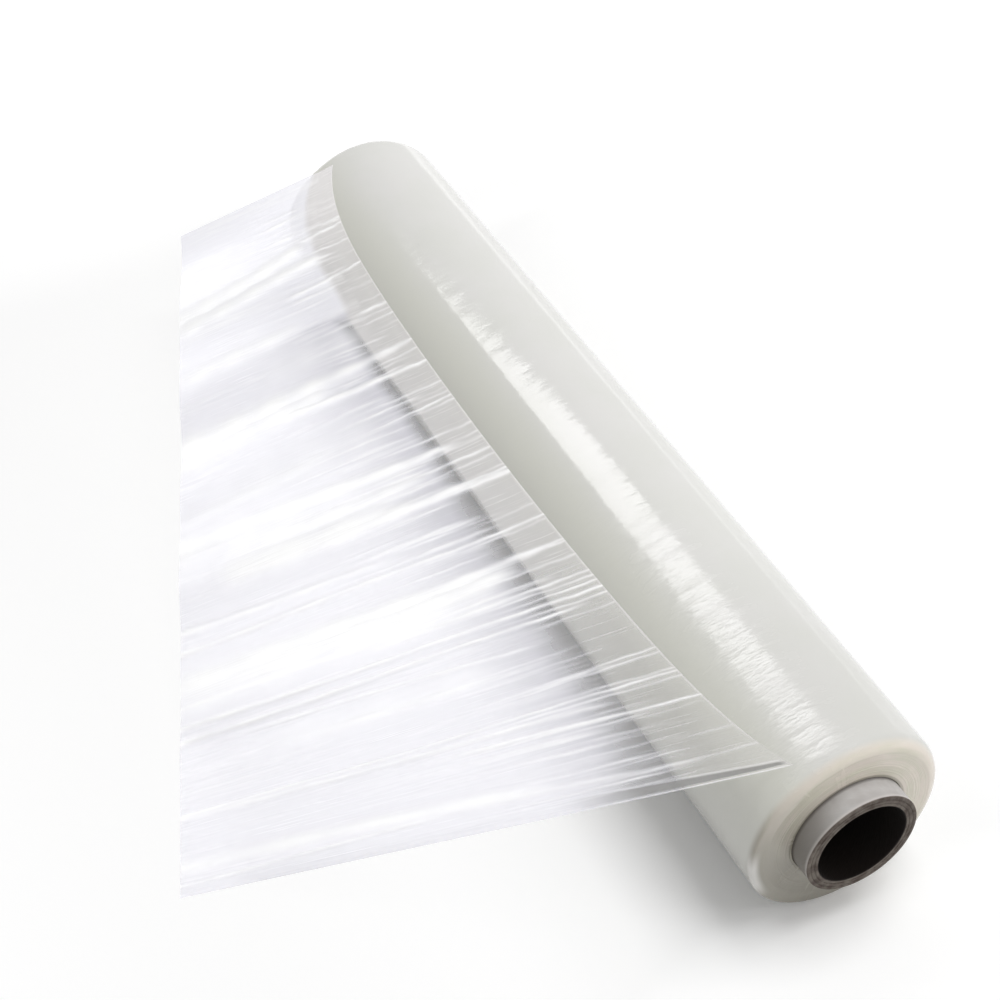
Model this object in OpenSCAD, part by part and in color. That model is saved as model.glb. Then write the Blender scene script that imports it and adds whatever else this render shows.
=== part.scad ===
// Roll of stretch wrap lying on a table, with a length of its film drawn out to one side.
// Millimetres, +Z up, the roll's axis along Y, and the origin at the middle of the core's bore.
// The film leaves the roll's top towards -X and comes down to the table there.

/* [Core tube] */
// Inside diameter of the paper tube
bore_d = 38.1; // [30:0.1:50]
// Wall of the paper tube
core_wall = 4.9; // [3:0.1:7]
// How far the tube stands out of the film at each end
core_reach = 10; // [4:0.5:25]
// Easing of the tube's cut rims
rim_ease = 0.5; // [0.2:0.1:0.8]
// Number of paper plies that show on the rims
ply_count = 3; // [2:1:4]
// Depth of the groove between two plies on the rims
ply_groove = 0.4; // [0.2:0.1:0.6]

/* [Wound film] */
// Width of the film web, which is the length of the wound body
web_w = 450; // [350:5:550]
// Diameter over the wound turns
roll_d = 84; // [76:0.5:110]
// Rounding of the turns at the outer edge of each end
edge_r = 6; // [3:0.5:8]
// Number of ring steps that the turns make on each end face
ring_count = 6; // [3:1:8]
// Depth of one ring step
ring_depth = 0.4; // [0.2:0.1:0.8]
// Width of the flat spot that the roll has settled on
flat_w = 14; // [8:1:18]
// Clearance between the tube and the innermost turn
core_gap = 0.1; // [0.05:0.05:0.2]

/* [Drawn-out film] */
// Thickness of the drawn-out film in this model
sheet_t = 0.6; // [0.4:0.1:1]
// Distance from the wound body's ends to where the film's edges leave it
edge_inset = 9; // [8.5:0.5:20]
// Angle from the top of the roll at which the middle of the film peels off
peel_mid = 57.5; // [45:0.5:65]
// Fall of that angle towards both edges
peel_fall = 13; // [5:0.5:16]
// Further fall of that angle in the last stretch before the near edge
near_flare = 11; // [5:0.5:15]
// Further fall of that angle in the last stretch before the far edge
far_flare = 20; // [10:0.5:22]
// Distance from the axis to the cut end of the film, at mid-length
cut_reach = 181.5; // [150:0.5:200]
// How far the cut end's far corner stands below the top of the peel
far_drop = 15; // [10:1:30]
// Number of tension creases across the film
crease_count = 40; // [24:1:44]
// Height of the tallest crease
crease_h = 2.6; // [1:0.1:3.5]
// Height of the slow waves across the film
wave_h = 1.6; // [0.5:0.1:2.5]

/* [Hidden] */

roll_r = roll_d/2;
core_r = bore_d/2 + core_wall;
core_len = web_w + 2*core_reach;
hole_r = core_r + core_gap;
// The table's height, where the flat spot lies
table_z = -sqrt(roll_r*roll_r - flat_w*flat_w/4);
// Sides of each turned surface
turn_sides = 180;

// One ring step of an end face: where it comes up and where it ends, as shares of its pitch
ring_rise = 0.35;
ring_run = 0.85;
// Share of its depth that a sunken ring keeps at its outer side
ring_dip = 0.6;
// Degrees between two points of the rounded outer edge
edge_step = 15;

// Straying of the film's edges, in mm along Y for each mm that the film runs out or comes down
near_draw = 0.2;
near_lean = 0.768;
far_draw = 0.27;
far_lean = 1.3;
// The cut end lies in one slanted plane: mm along X for each mm along Y, and for each mm of height
cut_slant = 0.357;
cut_lean = 0.115;
// The near corner is aimed a little under the table, so that it beds on it
bed_depth = 14;
bed_soft = 5;
// Share of bed_soft by which the bedded film is pressed down
bed_press = 0.1;
// Height over which the film comes clear of the table, and the creases' share of their height there
bed_clear = 25;
bed_crease = 0.3;
// Share of each ray over which the film starts to heed the table
bed_start = 1/3;
// How the film sags between the peel and the cut end, and how its rays spread
sag = 1.3;
spread = 1.2;
peel_skew = 0.1;
flare_power = 8;
// The film's root lies this deep in the wound turns, and this many degrees ahead of the peel
root_depth = 0.8;
root_angle = 2.5;
// How far the peeling film stands proud of the turns
peel_lip = 0.25;
// Rows of points along the film, as shares of each ray from the peel to the cut end
rows = [0, 0.05, 0.14, 0.28, 0.46, 0.72, 1];

// Points across one crease: place within its pitch, and share of its height
crease_at = [0, 0.36, 0.5, 0.64];
crease_up = [0, 0.3, 1, 0.3];
crease_points = len(crease_at);
points_across = crease_points*crease_count + 1;
// Share of its pitch that a crease strays by
crease_stray = 0.24;
// The lowest crease as a share of the tallest, and how the heights between them are spread
crease_least = 0.25;
crease_bias = 1.5;
// Share of its ray at which a crease starts, first and last, and over which it comes up
crease_first = 0.02;
crease_last = 0.14;
crease_rise = 0.16;
peel_rise = 0.05;
// Share of its ray from which a crease fades, and by how much
fade_from = 0.3;
fade = 0.45;
// Seeds of the creases' heights and starts
height_seed = 57;
start_seed = 19;
// The two slow waves: degrees across the whole film, start of the first, height of the second
wave_turn = [1150, 2730];
wave_start = 40;
wave_share = 0.7;

paper_colour = "#b9b2b0";
film_colour = "#dfe2da";

// A repeatable number from 0 to 1 for each whole number
function scatter(i) = let (s = sin(i*127.1 + 311.7)*43758.5453) s - floor(s);
function mix(a, b, f) = a + (b - a)*f;
// Rises smoothly from 0 to 1 as f goes from 0 to 1
function ease(f) = let (c = min(max(f, 0), 1)) c*c*(3 - 2*c);
// Stays above zero: nearly f when f is large, and nearly 0 when it is well below
function settle(f, soft) = (f + sqrt(f*f + soft*soft))/2;

// Angle of the peel from the top of the roll, for a place u from 0 at the near edge to 1 at the far one
function peel_angle(u) =
    let (t = 2*u - 1)
    peel_mid - peel_fall*pow(t - peel_skew, 2) - mix(near_flare, far_flare, u)*pow(t, flare_power);
// Place along the roll where the film leaves it
function peel_y(u) = mix(-web_w/2 + edge_inset, web_w/2 - edge_inset, u);

// Where each edge of the film leaves the wound turns, and the planes that the edges keep to
near_x = -roll_r*sin(peel_angle(0));
near_z = roll_r*cos(peel_angle(0));
far_x = -roll_r*sin(peel_angle(1));
far_z = roll_r*cos(peel_angle(1));
function near_y(x, z) = peel_y(0) + near_draw*(near_x - x) + near_lean*(near_z - z);
function far_y(x, z) = peel_y(1) - far_draw*(far_x - x) + far_lean*(far_z - z);

// Height of the cut end, before it settles on the table
function end_z(w) = mix(table_z - bed_depth, far_z - far_drop, w);
// Height of the film's upper face once the table has stopped it
function settled(z) =
    let (bed_z = table_z + sheet_t)
    bed_z + max(settle(z - bed_z, bed_soft) - bed_press*bed_soft, 0);
// How far clear of the table the film is, from 0 where it lies on it to 1
function clear_of_table(z) = ease((z - table_z - sheet_t)/bed_clear);
// The cut end's X at the share w between the two edges: both edges and the cut are planes
function end_x(w, z) =
    let (
        y0 = mix(near_y(0, z), far_y(0, z), w),
        per_x = mix(-near_draw, far_draw, w)
    )
    (-cut_reach + cut_slant*y0 + cut_lean*z)/(1 - cut_slant*per_x);

// Place across the film of point i
function across(i) =
    let (
        k = floor(i/crease_points),
        f = i - crease_points*k,
        shift = f == 0 ? 0 : crease_stray*(scatter(k) - 0.5)
    )
    min((k + crease_at[f] + shift)/crease_count, 1);
// The first crease is the hem that has folded along the near edge
function crease_size(k) =
    k == 0 ? crease_h : crease_h*mix(crease_least, 1, pow(scatter(k + height_seed), crease_bias));
// The crease's height at point i, at the share s of its ray
function crease(i, s) =
    let (
        k = floor(i/crease_points),
        start = mix(crease_first, crease_last, scatter(k + start_seed)),
        risen = ease((s - start)/crease_rise + 0.5)*ease(s/peel_rise),
        kept = 1 - fade*ease((s - fade_from)/(1 - fade_from))
    )
    crease_size(k)*crease_up[i - crease_points*k]*risen*kept;
function wave(u, s) =
    wave_h*ease(s)*(sin(wave_turn[0]*u + wave_start) + wave_share*sin(wave_turn[1]*u));

// Point i of row s on the film's upper face
function film_point(i, s) =
    let (
        u = across(i),
        a = peel_angle(u),
        r = roll_r + peel_lip,
        px = -r*sin(a),
        pz = r*cos(a),
        w0 = (peel_y(u) - near_y(px, pz))/(far_y(px, pz) - near_y(px, pz)),
        w1 = pow(u, spread),
        ez = end_z(w1),
        x = mix(px, end_x(w1, settled(ez)), s),
        sagged = mix(pz, ez, pow(s, sag)),
        z = mix(sagged, settled(sagged + wave(u, s)), ease(s/bed_start)),
        w = mix(w0, w1, s)
    )
    [
        x,
        mix(near_y(x, z), far_y(x, z), w),
        z + crease(i, s)*mix(bed_crease, 1, clear_of_table(z))
    ];
// Point i of the root row inside the wound turns
function root_point(i) =
    let (
        u = across(i),
        a = peel_angle(u) - root_angle,
        r = roll_r - root_depth
    )
    [-r*sin(a), peel_y(u), r*cos(a)];
function film_row(i, j) = j == 0 ? root_point(i) : film_point(i, rows[j - 1]);

// A half outline with its end at +Y, closed by the same end at -Y
function two_ended(half) = concat(half, [for (n = [len(half) - 1:-1:0]) [half[n][0], -half[n][1]]]);

// One cut rim of the tube, from the bore out, with a groove between each two plies
function rim_outline() =
    let (ply = core_wall/ply_count, top = core_len/2)
    concat(
        [[bore_d/2, top - rim_ease], [bore_d/2 + rim_ease, top]],
        [for (n = [1:ply_count - 1]) each [
            [bore_d/2 + n*ply - ply_groove/2, top],
            [bore_d/2 + n*ply, top - ply_groove],
            [bore_d/2 + n*ply + ply_groove/2, top]
        ]],
        [[core_r - rim_ease, top], [core_r, top - rim_ease]]
    );

module core() {
    color(paper_colour)
    rotate([90, 0, 0])
    rotate_extrude($fn = turn_sides)
    polygon(two_ended(rim_outline()));
}

// Half outline of one end of the wound body, from the hole to the rounded outer edge
function end_outline() =
    let (
        top = web_w/2,
        face_r = roll_r - edge_r,
        pitch = (face_r - hole_r)/ring_count
    )
    concat(
        [[hole_r, top - ring_depth]],
        [for (n = [0:ring_count - 1]) let (sunk = n % 2 == 0 ? 0 : ring_depth) each [
            [hole_r + pitch*(n + ring_rise), top - sunk],
            [hole_r + pitch*(n + ring_run), top - ring_dip*sunk]
        ]],
        [for (a = [90:-edge_step:0]) [face_r + edge_r*cos(a), top - edge_r + edge_r*sin(a)]]
    );

module wound_body() {
    difference() {
        rotate([90, 0, 0])
        rotate_extrude($fn = turn_sides)
        polygon(two_ended(end_outline()));
        // The flat spot
        translate([-roll_r, -web_w, table_z - roll_r])
        cube([roll_d, 2*web_w, roll_r]);
    }
}

module drawn_film() {
    count = points_across;
    last = len(rows);
    top = [for (j = [0:last]) for (i = [0:count - 1]) film_row(i, j)];
    bottom = [for (p = top) [p[0], p[1], p[2] - sheet_t]];
    under = len(top);
    faces = concat(
        [for (j = [0:last - 1]) for (i = [0:count - 2]) each [
            [j*count + i, (j + 1)*count + i + 1, j*count + i + 1],
            [j*count + i, (j + 1)*count + i, (j + 1)*count + i + 1],
            [under + j*count + i, under + j*count + i + 1, under + (j + 1)*count + i + 1],
            [under + j*count + i, under + (j + 1)*count + i + 1, under + (j + 1)*count + i]
        ]],
        [for (i = [0:count - 2]) each [
            [i, i + 1, under + i],
            [under + i, i + 1, under + i + 1],
            [last*count + i, under + last*count + i, last*count + i + 1],
            [under + last*count + i, under + last*count + i + 1, last*count + i + 1]
        ]],
        [for (j = [0:last - 1]) each [
            [j*count, under + j*count, (j + 1)*count],
            [under + j*count, under + (j + 1)*count, (j + 1)*count],
            [j*count + count - 1, (j + 1)*count + count - 1, under + j*count + count - 1],
            [under + j*count + count - 1, (j + 1)*count + count - 1, under + (j + 1)*count + count - 1]
        ]]
    );
    polyhedron(concat(top, bottom), faces);
}

module film() {
    color(film_colour)
    union() {
        wound_body();
        drawn_film();
    }
}

core();
film();
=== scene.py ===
"""Dresses a roll of stretch wrap: its paper core, its wound turns and the film drawn out of it."""

import logging
import math
from dataclasses import dataclass
from enum import Enum
from functools import partial, reduce
from typing import Any

import bpy
import numpy as np
from mathutils import Euler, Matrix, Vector


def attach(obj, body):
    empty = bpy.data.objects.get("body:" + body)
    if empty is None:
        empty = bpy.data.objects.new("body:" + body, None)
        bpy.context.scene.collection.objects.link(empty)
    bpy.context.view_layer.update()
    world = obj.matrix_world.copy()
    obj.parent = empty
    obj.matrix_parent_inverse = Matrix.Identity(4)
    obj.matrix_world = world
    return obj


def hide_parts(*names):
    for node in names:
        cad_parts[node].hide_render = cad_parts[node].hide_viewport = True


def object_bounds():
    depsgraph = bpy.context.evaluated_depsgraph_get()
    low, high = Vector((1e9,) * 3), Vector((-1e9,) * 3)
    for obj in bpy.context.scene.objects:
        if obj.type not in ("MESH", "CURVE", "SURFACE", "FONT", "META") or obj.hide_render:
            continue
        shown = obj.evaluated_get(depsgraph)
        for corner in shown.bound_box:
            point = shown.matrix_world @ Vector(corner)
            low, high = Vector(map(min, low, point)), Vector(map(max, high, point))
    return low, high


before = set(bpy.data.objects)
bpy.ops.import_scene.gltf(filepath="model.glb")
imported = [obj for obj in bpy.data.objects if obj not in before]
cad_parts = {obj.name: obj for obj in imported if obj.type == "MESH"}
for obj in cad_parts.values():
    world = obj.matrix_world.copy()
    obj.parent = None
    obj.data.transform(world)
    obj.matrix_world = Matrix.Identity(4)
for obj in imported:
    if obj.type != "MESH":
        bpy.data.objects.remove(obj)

LOG = logging.getLogger("stretch_wrap_roll")
BODY = "root"
CORE_NODE = "core"
FILM_NODE = "film"
CAD_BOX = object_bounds()

Colour = tuple[float, float, float]
Pair = tuple[float, float]
Rows = list[Pair]
Thing = bpy.types.Object
Output = bpy.types.NodeSocket
# What a node's input takes: a plain value, or another node's output
Source = Any


@dataclass(frozen=True)
class RollSizes:
    """Sizes of the roll in metres: the outermost from the frame, the others as in the solid model."""

    core_half: float = round(CAD_BOX[1][1], 6)
    roll_r: float = round(CAD_BOX[1][2], 6)
    bore_r: float = 0.01905
    core_r: float = 0.02395
    hole_r: float = 0.02405
    web_half: float = 0.225
    edge_r: float = 0.006
    flat_w: float = 0.014
    ring_depth: float = 0.0004

    @property
    def table_z(self) -> float:
        """Height of the table, where the flat spot lies."""
        return -math.sqrt(self.roll_r**2 - self.flat_w**2 / 4)


SIZES = RollSizes()


def mix(a: Any, b: Any, f: Any) -> Any:
    """Goes from a to b as f goes from 0 to 1."""
    return a + (b - a) * f


def ease(f: Any) -> Any:
    """Rises smoothly from 0 to 1 as f goes from 0 to 1."""
    c = np.clip(f, 0.0, 1.0)
    return c * c * (3 - 2 * c)


def scatter(index: Any) -> Any:
    """A repeatable number from 0 to 1 for each whole number, as the solid model scatters its creases."""
    s = np.sin(np.radians(index * 127.1 + 311.7)) * 43758.5453
    return s - np.floor(s)


def ridge(offset: Any, half: Any) -> Any:
    """A smooth hump: 1 where the offset is 0, fading out past its half width."""
    return np.exp(-((offset / half) ** 2))


@dataclass(frozen=True)
class Step:
    """A smooth step: its result goes from start to end as a value goes from low to high."""

    low: float
    high: float
    start: float = 0.0
    end: float = 1.0

    def at(self, value: Any) -> Any:
        """The result for a number or an array."""
        return mix(self.start, self.end, ease((value - self.low) / (self.high - self.low)))


@dataclass(frozen=True)
class Wave:
    """A sine wave along a pleat.

    Its turn is in radians over the film's length, and its start in radians over the film's width.
    """

    height: float
    turn: float
    start: float

    def at(self, s: Any, across: float) -> Any:
        """The wave's height at s along the film, for a pleat at a place across it."""
        return self.height * np.sin(self.turn * s + self.start * across)


@dataclass(frozen=True)
class FilmPath:
    """The rule that the drawn-out film follows, with the solid model's numbers in metres and degrees.

    It peels off along a bowed line, strays at both edges, sags, and beds on the table. The draw
    and the lean slant the planes of the near edge and the far one.
    """

    inset: float = 0.009
    peel_mid: float = 57.5
    peel_fall: float = 13.0
    near_flare: float = 11.0
    far_flare: float = 20.0
    peel_skew: float = 0.1
    flare_power: int = 8
    peel_lip: float = 0.00025
    draw: Pair = (0.2, -0.27)
    lean: Pair = (0.768, 1.3)
    cut_reach: float = 0.1815
    cut_slant: float = 0.357
    cut_lean: float = 0.115
    sheet_t: float = 0.0006
    bed_depth: float = 0.014
    bed_soft: float = 0.005
    bed_press: float = 0.1
    bed_clear: float = 0.025
    bed_crease: float = 0.3
    bed_start: float = 1 / 3
    far_drop: float = 0.015
    sag: float = 1.3
    spread: float = 1.2
    wave_h: float = 0.0016
    wave_turn: Pair = (1150.0, 2730.0)
    wave_start: float = 40.0
    wave_share: float = 0.7

    def peel_angle(self, u: Any) -> Any:
        """Angle of the peel from the roll's top.

        Args:
            u: Shares across the film.

        Returns:
            The angle in radians.
        """
        t = 2 * u - 1
        flare = mix(self.near_flare, self.far_flare, u) * t**self.flare_power
        return np.radians(self.peel_mid - self.peel_fall * (t - self.peel_skew) ** 2 - flare)

    def peel_y(self, u: Any) -> Any:
        """Place along the roll where the film leaves it."""
        half = SIZES.web_half - self.inset
        return mix(-half, half, u)

    def edge_start(self, side: int) -> Pair:
        """X and Z at which the near edge, side 0, or the far edge, side 1, leaves the turns."""
        angle = self.peel_angle(side)
        return -SIZES.roll_r * math.sin(angle), SIZES.roll_r * math.cos(angle)

    def edge_y(self, side: int, x: Any, z: Any) -> Any:
        """Y of an edge's plane at x and z."""
        x0, z0 = self.edge_start(side)
        return self.peel_y(side) + self.draw[side] * (x0 - x) + self.lean[side] * (z0 - z)

    def settled(self, z: Any) -> Any:
        """Stops the film at the table, with a soft bend.

        Args:
            z: Its height without the table.

        Returns:
            Its height.
        """
        bed = SIZES.table_z + self.sheet_t
        f = z - bed
        soft = (f + np.sqrt(f * f + self.bed_soft**2)) / 2
        return bed + np.maximum(soft - self.bed_press * self.bed_soft, 0)

    def crease_share(self, z: Any) -> Any:
        """Share of its height that a crease keeps: less where the film lies on the table."""
        clear = ease((z - SIZES.table_z - self.sheet_t) / self.bed_clear)
        return mix(self.bed_crease, 1.0, clear)

    def end_x(self, w: Any, z: Any) -> Any:
        """X of the cut end.

        Args:
            w: Share of the way from the near edge to the far one.
            z: Its height.

        Returns:
            The place in metres.
        """
        y0 = mix(self.edge_y(0, 0, z), self.edge_y(1, 0, z), w)
        per_x = -mix(*self.draw, w)
        return (-self.cut_reach + self.cut_slant * y0 + self.cut_lean * z) / (1 - self.cut_slant * per_x)

    def point(self, u: np.ndarray, s: np.ndarray) -> np.ndarray:
        """Places of the film's upper face without its creases.

        Args:
            u: Shares across the film, from 0 at the near edge to 1 at the far one.
            s: Shares along the film, from 0 at the peel to 1 at the cut end.

        Returns:
            An array of x, y, z with the shape of u and s in front.
        """
        angle = self.peel_angle(u)
        r = SIZES.roll_r + self.peel_lip
        px, pz = -r * np.sin(angle), r * np.cos(angle)
        near, far = self.edge_y(0, px, pz), self.edge_y(1, px, pz)
        w0 = (self.peel_y(u) - near) / (far - near)
        w1 = u**self.spread
        ez = mix(SIZES.table_z - self.bed_depth, self.edge_start(1)[1] - self.far_drop, w1)
        x = mix(px, self.end_x(w1, self.settled(ez)), s)
        sagged = mix(pz, ez, s**self.sag)
        z = mix(sagged, self.settled(sagged + self.slow_wave(u, s)), ease(s / self.bed_start))
        y = mix(self.edge_y(0, x, z), self.edge_y(1, x, z), mix(w0, w1, s))
        return np.stack([x, y, z], axis=-1)

    def slow_wave(self, u: np.ndarray, s: np.ndarray) -> np.ndarray:
        """Height of the two slow waves across the film.

        Args:
            u: Shares across the film.
            s: Shares along the film.

        Returns:
            The height in metres.
        """
        first = np.sin(np.radians(self.wave_turn[0] * u + self.wave_start))
        second = self.wave_share * np.sin(np.radians(self.wave_turn[1] * u))
        return self.wave_h * ease(s) * (first + second)


@dataclass(frozen=True)
class Pleat:
    """One gathered pleat of the film: a narrow fold that shows white, partly as gathered film and partly as a
    painted glint.

    Fields are shares across the film and along it: where the pleat lies at the peel and at the cut,
    from where to where it runs, its half width in metres at both ends, and how white it is.
    """

    at: float
    to: float
    start: float
    stop: float
    width: float
    spread: float
    white: float


@dataclass(frozen=True)
class PleatRule:
    """What all pleats share: how they start and stop, bend, waver, vary in their painted glint and stand up.

    Lengths along the film are shares of it. The bend and the wavers are shares of its width. The
    least width and the greatest height are in metres.
    """

    start_run: float = 0.12
    stop_run: float = 0.2
    bend: Wave = Wave(0.0012, 9.0, 40.0)
    wavers: tuple[Wave, ...] = (Wave(0.00045, 46.0, 700.0), Wave(0.00025, 97.0, 1610.0))
    waver_start: Step = Step(0.0, 0.03)
    waver_fade: Step = Step(0.0, 0.5, 1.0, 0.4)
    painted_gleam: Wave = Wave(0.15, 37.0, 1190.0)
    widening: float = 0.8
    least_width: float = 0.0008
    slope: float = 0.3
    greatest_height: float = 0.0008

    def crest(self, pleat: Pleat, u: np.ndarray, s: np.ndarray, web: float) -> tuple[np.ndarray, np.ndarray]:
        """How one pleat whitens and lifts the film.

        Args:
            pleat: The pleat.
            u: Shares across the film.
            s: Shares along the film.
            web: The film's width in metres.

        Returns:
            Whiteness from 0 to 1, and height in metres.
        """
        starts = ease((s - pleat.start) / self.start_run + (pleat.start == 0))
        run = starts * ease((pleat.stop - s) / self.stop_run)
        waver = sum(wave.at(s, pleat.at) for wave in self.wavers)
        waver = waver * self.waver_start.at(s) * self.waver_fade.at(s)
        centre = mix(pleat.at, pleat.to, s) + self.bend.at(s, pleat.at) + waver
        half = np.maximum(mix(pleat.width, pleat.spread, s**self.widening), self.least_width)
        # The painted glint brightens and dims along the pleat
        painted_gleam = 1 - self.painted_gleam.height + self.painted_gleam.at(s, pleat.at)
        white = ridge(u - centre, half / web) * run * pleat.white * painted_gleam
        return white, white * np.minimum(half * self.slope, self.greatest_height)


@dataclass(frozen=True)
class Threads:
    """The many thin threads between the pleats, strewn by a fixed seed.

    A pair holds a least and a greatest value.
    """

    count: int = 200
    seed: int = 31
    at: Pair = (0.02, 0.97)
    starts: tuple[float, ...] = (0.0, 0.05, 0.1, 0.14, 0.18, 0.25)
    run: Pair = (0.15, 0.45)
    width: Pair = (0.0003, 0.0007)
    white: Pair = (0.2, 0.75)
    stray: Pair = (-0.008, 0.008)
    spread: float = 2.5

    def strew(self) -> list[Pleat]:
        """Draws the threads from the seed.

        Returns:
            The threads, each as a thin pleat.
        """
        rng = np.random.default_rng(self.seed)
        found = []
        for _ in range(self.count):
            at = float(rng.uniform(*self.at))
            start = float(rng.choice(self.starts))
            run = float(rng.uniform(*self.run))
            width = float(rng.uniform(*self.width))
            white = float(rng.uniform(*self.white))
            to = at + float(rng.uniform(*self.stray))
            found.append(Pleat(at, to, start, start + run, width, width * self.spread, white))
        return found


@dataclass(frozen=True)
class Hem:
    """The near edge, turned over in a fold: two bright lines with a dark wedge of painted shade between them.

    Places across the film are shares of its width, and the steps along it are shares of its length.
    """

    fold_at_peel: float = 0.0105
    fold_at_cut: float = 0.050
    outer_at: float = 0.0012
    outer_half: float = 0.0012
    outer_white: float = 0.7
    inner_half: float = 0.0016
    inner_white: float = 0.4
    wedge_from: Step = Step(0.003, 0.005)
    wedge_to: Step = Step(0.001, 0.003)
    starts: Step = Step(-0.004, 0.016)
    stops: Step = Step(0.21, 0.38, 1.0, 0.0)

    def field(self, u: np.ndarray, s: np.ndarray) -> tuple[np.ndarray, np.ndarray]:
        """Where the hem's lines and its wedge show.

        Args:
            u: Shares across the film.
            s: Shares along the film.

        Returns:
            Whiteness of the lines and strength of the wedge's painted shade, both from 0 to 1.
        """
        fold = mix(self.fold_at_peel, self.fold_at_cut, s)
        fade = self.starts.at(s) * self.stops.at(s)
        outer = self.outer_white * ridge(u - self.outer_at, self.outer_half)
        inner = self.inner_white * ridge(u - fold, self.inner_half)
        wedge = self.wedge_from.at(u) * self.wedge_to.at(fold - u)
        return np.maximum(outer, inner) * fade, wedge * fade


@dataclass(frozen=True)
class FilmZones:
    """Where the film lies close over the turns, and where it has come out to its milky length.

    The steps start and end at shares across the film. The sides, the runs, the sway and the high
    part's start are shares along it.
    """

    across: tuple[float, ...] = (0, 0.05, 0.2, 0.45, 0.6, 0.76, 0.85, 0.93, 1)
    side: tuple[float, ...] = (0.165, 0.15, 0.129, 0.129, 0.143, 0.195, 0.215, 0.235, 0.15)
    side_reach: float = 1.04
    side_softness: Pair = (0.1, 0.25)
    high: Step = Step(0.755, 0.79)
    high_sway: float = 0.006
    high_sway_turn: float = 60.0
    high_start: float = 0.5
    high_run: float = 0.05
    out_strength: Step = Step(0.4, 0.6, 0.6, 0.72)
    out_run: Step = Step(0.4, 0.55, 0.1, 0.075)
    near_run: float = 0.2
    past_near: Step = Step(0.0, 0.09)

    def fields(self, u: np.ndarray, s: np.ndarray) -> tuple[np.ndarray, np.ndarray]:
        """Where both zones lie.

        Args:
            u: Shares across the film.
            s: Shares along the film.

        Returns:
            Strength of both zones, from 0 to 1.
        """
        high = self.high.at(u)
        side = np.interp(u, self.across, self.side)
        side = side + high * self.high_sway * np.sin(self.high_sway_turn * u)
        over = ease((self.side_reach * side - s) / (mix(*self.side_softness, high) * side))
        run = mix(self.near_run, self.out_run.at(u), self.past_near.at(u))
        out = self.out_strength.at(u) * ease((s - side) / run)
        high = high * ease((s - self.high_start * side) / self.high_run)
        return over, np.maximum(out, high)


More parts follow.
